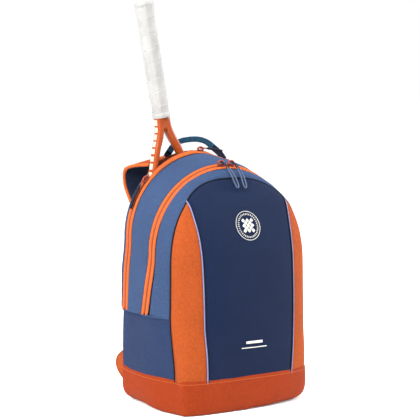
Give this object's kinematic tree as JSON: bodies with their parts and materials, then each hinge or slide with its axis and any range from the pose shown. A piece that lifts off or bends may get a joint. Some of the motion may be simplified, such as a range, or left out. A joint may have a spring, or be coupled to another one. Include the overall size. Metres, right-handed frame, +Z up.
{
  "type": "racket backpack",
  "caption": "Backpack with two arched zipped compartments, padded shoulder straps, a carry handle and a racket standing handle-up in its rear compartment.",
  "frame": {"origin": "middle of the flat underside, on the ground, in the plane of the front zip", "axes": "+Z up, front panel towards -Y, straps towards +Y, +X to the right seen from the front"},
  "size_m": [0.3, 0.2996, 0.7049],
  "materials": {
    "navy_fabric": "matte woven polyester",
    "blue_fabric": "matte woven polyester",
    "orange_fabric": "matte woven polyester",
    "base_fabric": "coated polyester",
    "tape_orange": "zip tape",
    "coil_orange": "nylon coil",
    "dark_binding": "piping",
    "lilac_binding": "piping",
    "mesh_fabric": "quilted spacer mesh",
    "lining_fabric": "thin lining",
    "foam": "closed-cell foam",
    "slider_orange": "satin",
    "pull_dark": "moulded cord end",
    "pull_grey": "moulded cord end",
    "handle_teal": "webbing",
    "webbing_navy": "webbing",
    "buckle_black": "moulded acetal",
    "board_black": "sheet",
    "print_white": "raised print",
    "racket_orange": "satin lacquer",
    "racket_dark": "moulded nylon",
    "string_white": "string",
    "grip_white": "perforated overgrip"
  },
  "bodies": {
    "pack": {"base_boot": "base_fabric", "base_board": "board_black", "side_panel_left": "blue_fabric", "side_panel_right": "blue_fabric", "rear_gusset": "blue_fabric", "main_zip_tape_rear": "tape_orange", "main_zip_teeth_rear": "coil_orange", "back_panel": "lining_fabric", "back_foam": "foam", "back_pad_left": "mesh_fabric", "back_pad_right": "mesh_fabric", "lumbar_pad": "mesh_fabric", "strap_wing_left": "orange_fabric", "strap_wing_right": "orange_fabric", "lower_webbing_left": "webbing_navy", "lower_webbing_right": "webbing_navy"},
    "main_flap": {"middle_gusset": "blue_fabric", "main_zip_tape_front": "tape_orange", "main_zip_teeth_front": "coil_orange", "front_zip_tape_rear": "tape_orange", "front_zip_teeth_rear": "coil_orange", "divider": "lining_fabric"},
    "front_flap": {"front_gusset": "blue_fabric", "front_zip_tape_front": "tape_orange", "front_zip_teeth_front": "coil_orange", "front_centre_panel": "navy_fabric", "front_side_panel_left": "orange_fabric", "front_side_panel_right": "orange_fabric", "accent_piping_left": "lilac_binding", "accent_piping_right": "lilac_binding", "edge_piping": "dark_binding", "front_emblem": "print_white", "front_label": "print_white"},
    "main_slider_left": {"main_slider_left": "slider_orange"},
    "main_slider_right": {"main_slider_right": "slider_orange"},
    "main_pull_left": {"main_pull_link_left": "pull_dark", "main_pull_tab_left": "pull_dark"},
    "main_pull_right": {"main_pull_link_right": "pull_dark", "main_pull_tab_right": "pull_dark"},
    "front_slider_left": {"front_slider_left": "slider_orange"},
    "front_slider_right": {"front_slider_right": "slider_orange"},
    "front_pull_left": {"front_pull_link_left": "pull_dark", "front_pull_tab_left": "pull_grey"},
    "front_pull_right": {"front_pull_link_right": "pull_dark", "front_pull_tab_right": "pull_grey"},
    "carry_handle": {"handle_webbing": "handle_teal", "handle_grip": "handle_teal"},
    "strap_left": {"strap_cover_left": "orange_fabric", "strap_lining_left": "mesh_fabric", "ladder_lock_left": "buckle_black"},
    "strap_right": {"strap_cover_right": "orange_fabric", "strap_lining_right": "mesh_fabric", "ladder_lock_right": "buckle_black"},
    "racket": {"racket_frame": "racket_orange", "racket_bumper": "racket_dark", "racket_strings": "string_white", "racket_handle_core": "racket_dark", "racket_grip": "grip_white", "racket_grip_collar": "grip_white", "racket_butt_cap": "grip_white"}
  },
  "joints": [
    {"name": "main_flap_open", "type": "hinge", "parent": "pack", "child": "main_flap", "pos_m": [0, -0.0945, 0.056], "axis": [1, 0, 0], "range_deg": [0, 7]},
    {"name": "front_flap_open", "type": "hinge", "parent": "main_flap", "child": "front_flap", "pos_m": [0, -0.0945, 0.056], "axis": [1, 0, 0], "range_deg": [0, 8]},
    {"name": "main_slider_left_travel", "type": "hinge", "parent": "pack", "child": "main_slider_left", "pos_m": [0, 0.08, 0.291], "axis": [0, -1, 0], "range_deg": [0, 32]},
    {"name": "main_slider_right_travel", "type": "hinge", "parent": "pack", "child": "main_slider_right", "pos_m": [0, 0.08, 0.291], "axis": [0, 1, 0], "range_deg": [0, 79]},
    {"name": "front_slider_left_travel", "type": "hinge", "parent": "main_flap", "child": "front_slider_left", "pos_m": [0, 0, 0.269], "axis": [0, -1, 0], "range_deg": [0, 47.8]},
    {"name": "front_slider_right_travel", "type": "hinge", "parent": "main_flap", "child": "front_slider_right", "pos_m": [0, 0, 0.269], "axis": [0, 1, 0], "range_deg": [0, 43.8]},
    {"name": "main_pull_left_lift", "type": "hinge", "parent": "main_slider_left", "child": "main_pull_left", "pos_m": [-0.11333, 0.08, 0.39304], "axis": [0, 1, 0], "range_deg": [0, 100]},
    {"name": "main_pull_right_lift", "type": "hinge", "parent": "main_slider_right", "child": "main_pull_right", "pos_m": [0.00266, 0.08, 0.44348], "axis": [0, -1, 0], "range_deg": [0, 100]},
    {"name": "front_pull_left_lift", "type": "hinge", "parent": "front_slider_left", "child": "front_pull_left", "pos_m": [-0.00592, 0, 0.42299], "axis": [-0.9993, 0, -0.0384], "range_deg": [0, 110]},
    {"name": "front_pull_right_lift", "type": "hinge", "parent": "front_slider_right", "child": "front_pull_right", "pos_m": [0.01664, 0, 0.4222], "axis": [-0.9942, 0, 0.108], "range_deg": [0, 110]},
    {"name": "carry_handle_fold", "type": "hinge", "parent": "pack", "child": "carry_handle", "pos_m": [0, 0.103, 0.428], "axis": [-1, 0, 0], "range_deg": [0, 70], "stiffness_Nm_per_rad": 0.012},
    {"name": "strap_left_swing", "type": "hinge", "parent": "pack", "child": "strap_left", "pos_m": [-0.06, 0.1075, 0.4235], "axis": [1, 0, 0], "range_deg": [0, 25]},
    {"name": "strap_right_swing", "type": "hinge", "parent": "pack", "child": "strap_right", "pos_m": [0.06, 0.1075, 0.4235], "axis": [1, 0, 0], "range_deg": [0, 25]},
    {"name": "racket_lift", "type": "slide", "parent": "pack", "child": "racket", "axis": [-0.1736, 0, 0.9848], "range_m": [0, 0.003]}
  ],
  "couplings": [
    {"joint": "main_slider_left_travel", "follows": "main_flap_open", "ratio": 4.5714},
    {"joint": "main_slider_right_travel", "follows": "main_flap_open", "ratio": 11.286},
    {"joint": "front_slider_left_travel", "follows": "front_flap_open", "ratio": 5.975},
    {"joint": "front_slider_right_travel", "follows": "front_flap_open", "ratio": 5.475}
  ]
}
